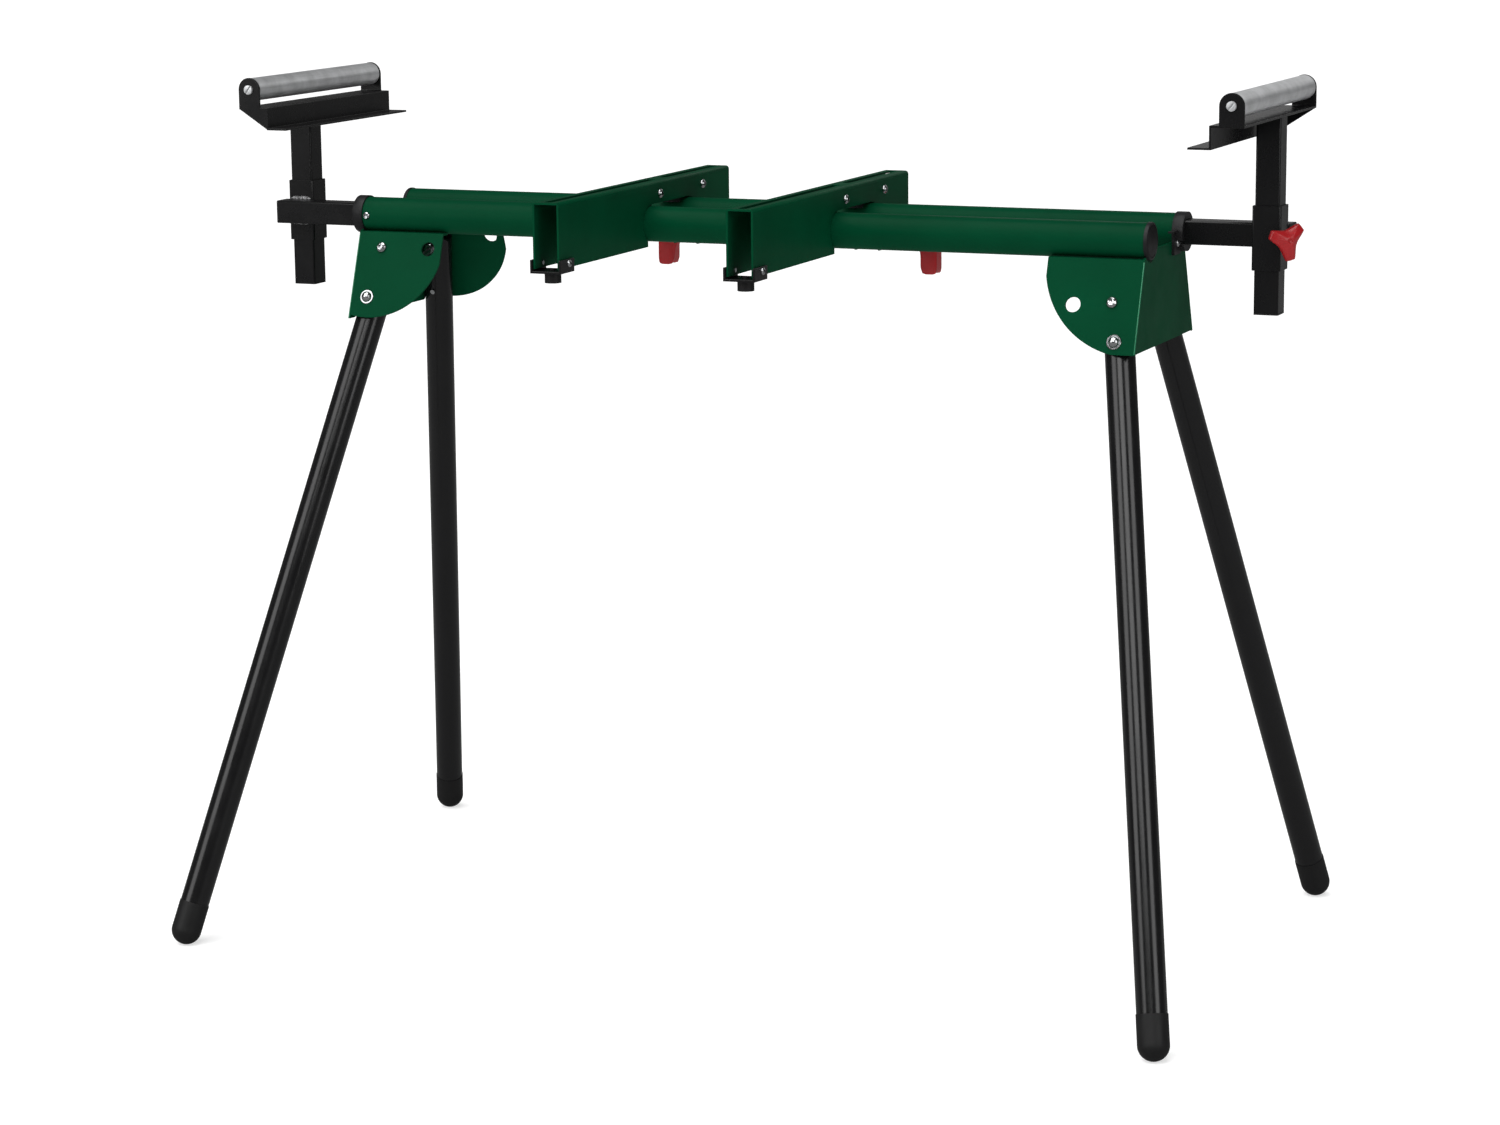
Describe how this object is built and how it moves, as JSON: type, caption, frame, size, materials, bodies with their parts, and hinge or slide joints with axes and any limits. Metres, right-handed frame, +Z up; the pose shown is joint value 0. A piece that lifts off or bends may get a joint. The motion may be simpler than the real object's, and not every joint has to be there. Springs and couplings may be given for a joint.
{
  "type": "mitre saw stand",
  "caption": "Folding stand for a mitre saw: twin beam tubes on splayed folding legs, sliding slotted saw holders and an extending roller support at each end.",
  "frame": {"origin": "on the floor, under the middle of the stand's beam", "axes": "+X along the beam tubes to the right, +Y to the rear, where the clamp knobs are, +Z up"},
  "size_m": [1.3137, 0.7352, 1.0445],
  "materials": {
    "green_paint": "dark green powder coat, satin",
    "black_paint": "black satin paint",
    "black_plastic": "moulded, fine grain",
    "black_rubber": "matte",
    "red_plastic": "moulded, semi gloss",
    "bright_steel": "bright zinc plate",
    "galvanised": "zinc plated, lightly brushed"
  },
  "bodies": {
    "beam": {"front_tube": "green_paint", "rear_tube": "green_paint", "left_bracket": "green_paint", "right_bracket": "green_paint", "tube_caps": "black_plastic", "tube_collars": "black_plastic", "collar_screws": "bright_steel", "pivot_bolts": "bright_steel", "pivot_washers_and_nuts": "bright_steel"},
    "front_left_leg": {"front_left_leg": "black_paint", "front_left_foot": "black_rubber"},
    "front_left_catch": {"front_left_lock_catch": "bright_steel"},
    "rear_left_leg": {"rear_left_leg": "black_paint", "rear_left_foot": "black_rubber"},
    "rear_left_catch": {"rear_left_lock_catch": "bright_steel"},
    "front_right_leg": {"front_right_leg": "black_paint", "front_right_foot": "black_rubber"},
    "front_right_catch": {"front_right_lock_catch": "bright_steel"},
    "rear_right_leg": {"rear_right_leg": "black_paint", "rear_right_foot": "black_rubber"},
    "rear_right_catch": {"rear_right_lock_catch": "bright_steel"},
    "left_arm": {"left_arm": "black_paint", "left_arm_plugs": "black_plastic"},
    "left_post": {"left_post": "black_paint", "left_post_plug": "black_plastic", "left_roller_bracket": "black_paint", "left_roller_axle": "galvanised"},
    "left_roller": {"left_roller": "galvanised", "left_roller_bushes": "black_plastic"},
    "left_post_knob": {"left_post_knob": "red_plastic"},
    "left_holder": {"left_holder": "green_paint", "left_saddles": "black_plastic", "left_holder_bolts": "bright_steel", "left_front_clip": "black_paint", "left_front_pad": "black_rubber"},
    "left_clamp_jaw": {"left_clamp_jaw": "black_plastic"},
    "left_clamp_knob": {"left_clamp_knob": "red_plastic", "left_clamp_screw": "bright_steel"},
    "right_arm": {"right_arm": "black_paint", "right_arm_plugs": "black_plastic"},
    "right_post": {"right_post": "black_paint", "right_post_plug": "black_plastic", "right_roller_bracket": "black_paint", "right_roller_axle": "galvanised"},
    "right_roller": {"right_roller": "galvanised", "right_roller_bushes": "black_plastic"},
    "right_post_knob": {"right_post_knob": "red_plastic"},
    "right_holder": {"right_holder": "green_paint", "right_saddles": "black_plastic", "right_holder_bolts": "bright_steel", "right_front_clip": "black_paint", "right_front_pad": "black_rubber"},
    "right_clamp_jaw": {"right_clamp_jaw": "black_plastic"},
    "right_clamp_knob": {"right_clamp_knob": "red_plastic", "right_clamp_screw": "bright_steel"}
  },
  "joints": [
    {"name": "front_left_leg_fold", "type": "hinge", "parent": "beam", "child": "front_left_leg", "pos_m": [-0.4695, -0.06296, 0.82249], "axis": [0, -0.9421, 0.3355], "range_deg": [0, 100.2]},
    {"name": "front_left_catch_press", "type": "slide", "parent": "front_left_leg", "child": "front_left_catch", "axis": [0, 0.9421, -0.3355], "range_m": [0, 0.01], "stiffness_N_per_m": 600, "springref_m": -0.004, "deforming": ["front_left_lock_catch"]},
    {"name": "rear_left_leg_fold", "type": "hinge", "parent": "beam", "child": "rear_left_leg", "pos_m": [-0.4695, 0.06296, 0.82249], "axis": [0, -0.9421, -0.3355], "range_deg": [0, 100.2]},
    {"name": "rear_left_catch_press", "type": "slide", "parent": "rear_left_leg", "child": "rear_left_catch", "axis": [0, -0.9421, -0.3355], "range_m": [0, 0.01], "stiffness_N_per_m": 600, "springref_m": -0.004, "deforming": ["rear_left_lock_catch"]},
    {"name": "front_right_leg_fold", "type": "hinge", "parent": "beam", "child": "front_right_leg", "pos_m": [0.4695, -0.07333, 0.79338], "axis": [0, 0.9421, -0.3355], "range_deg": [0, 94.5]},
    {"name": "front_right_catch_press", "type": "slide", "parent": "front_right_leg", "child": "front_right_catch", "axis": [0, 0.9421, -0.3355], "range_m": [0, 0.01], "stiffness_N_per_m": 600, "springref_m": -0.004, "deforming": ["front_right_lock_catch"]},
    {"name": "rear_right_leg_fold", "type": "hinge", "parent": "beam", "child": "rear_right_leg", "pos_m": [0.4695, 0.07333, 0.79338], "axis": [0, 0.9421, 0.3355], "range_deg": [0, 94.5]},
    {"name": "rear_right_catch_press", "type": "slide", "parent": "rear_right_leg", "child": "rear_right_catch", "axis": [0, -0.9421, -0.3355], "range_m": [0, 0.01], "stiffness_N_per_m": 600, "springref_m": -0.004, "deforming": ["rear_right_lock_catch"]},
    {"name": "left_arm_slide", "type": "slide", "parent": "beam", "child": "left_arm", "axis": [-1, 0, 0], "range_m": [-0.073, 0.172]},
    {"name": "left_post_slide", "type": "slide", "parent": "left_arm", "child": "left_post", "axis": [0, 0, 1], "range_m": [-0.06, 0.045]},
    {"name": "left_roller_spin", "type": "hinge", "parent": "left_post", "child": "left_roller", "pos_m": [-0.6085, 0, 1.025], "axis": [0, 1, 0], "continuous": true},
    {"name": "left_post_knob_turn", "type": "hinge", "parent": "left_arm", "child": "left_post_knob", "pos_m": [-0.605, -0.0254, 0.868], "axis": [-0.7071, 0.7071, 0], "range_deg": [0, 720]},
    {"name": "left_holder_slide", "type": "slide", "parent": "beam", "child": "left_holder", "axis": [1, 0, 0], "range_m": [-0.165, 0.085]},
    {"name": "left_clamp_jaw_swing", "type": "hinge", "parent": "left_holder", "child": "left_clamp_jaw", "pos_m": [-0.1355, 0.097, 0.902], "axis": [1, 0, 0], "range_deg": [0, 11]},
    {"name": "left_clamp_knob_turn", "type": "hinge", "parent": "left_holder", "child": "left_clamp_knob", "pos_m": [-0.1355, 0.155, 0.838], "axis": [-1, 0, 0], "range_deg": [0, 720]},
    {"name": "right_arm_slide", "type": "slide", "parent": "beam", "child": "right_arm", "axis": [1, 0, 0], "range_m": [-0.087, 0.158]},
    {"name": "right_post_slide", "type": "slide", "parent": "right_arm", "child": "right_post", "axis": [0, 0, 1], "range_m": [-0.06, 0.045]},
    {"name": "right_roller_spin", "type": "hinge", "parent": "right_post", "child": "right_roller", "pos_m": [0.6225, 0, 1.03], "axis": [0, 1, 0], "continuous": true},
    {"name": "right_post_knob_turn", "type": "hinge", "parent": "right_arm", "child": "right_post_knob", "pos_m": [0.619, 0.0254, 0.868], "axis": [0.7071, -0.7071, 0], "range_deg": [0, 720]},
    {"name": "right_holder_slide", "type": "slide", "parent": "beam", "child": "right_holder", "axis": [1, 0, 0], "range_m": [-0.054, 0.196]},
    {"name": "right_clamp_jaw_swing", "type": "hinge", "parent": "right_holder", "child": "right_clamp_jaw", "pos_m": [0.104, 0.097, 0.902], "axis": [1, 0, 0], "range_deg": [0, 11]},
    {"name": "right_clamp_knob_turn", "type": "hinge", "parent": "right_holder", "child": "right_clamp_knob", "pos_m": [0.104, 0.155, 0.838], "axis": [1, 0, 0], "range_deg": [0, 720]}
  ]
}
